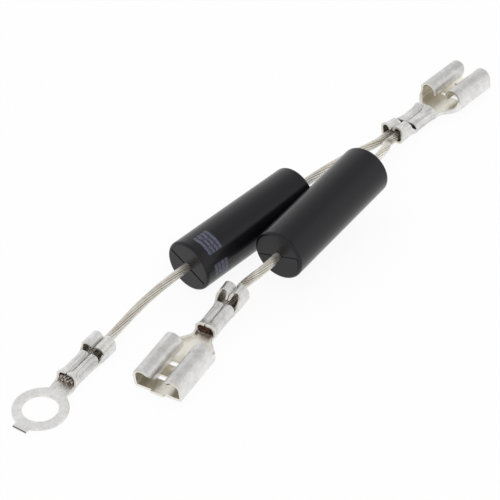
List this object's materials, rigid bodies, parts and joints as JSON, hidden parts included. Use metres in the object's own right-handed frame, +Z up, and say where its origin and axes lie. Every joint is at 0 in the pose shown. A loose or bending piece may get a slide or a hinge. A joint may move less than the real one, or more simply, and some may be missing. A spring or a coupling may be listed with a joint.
{
  "type": "high-voltage diode",
  "caption": "Moulded high-voltage diodes side by side on bare stranded leads, joined in a shared tab receptacle, with a ring terminal and a tab receptacle on the free leads.",
  "frame": {"origin": "axis of the ring terminal's hole, on the ring's underside", "axes": "+Z up from the surface that the part lies on, along the ring's hole; +Y from the ring towards the shared receptacle"},
  "size_m": [0.0188, 0.0975, 0.01],
  "materials": {
    "epoxy": "moulded black epoxy, satin gloss",
    "dice": "polished silicon and solder",
    "strands": "tinned copper strands",
    "tinned_sheet": "bright tin plate"
  },
  "bodies": {
    "root": {"rectifier_body": "epoxy", "protector_body": "epoxy", "rectifier_die_stack": "dice", "protector_die_stack": "dice", "rectifier_ring_lead": "strands", "rectifier_common_lead": "strands", "protector_tab_lead": "strands", "protector_common_lead": "strands", "ring_terminal": "tinned_sheet", "tab_receptacle": "tinned_sheet", "common_receptacle": "tinned_sheet"}
  },
  "joints": []
}
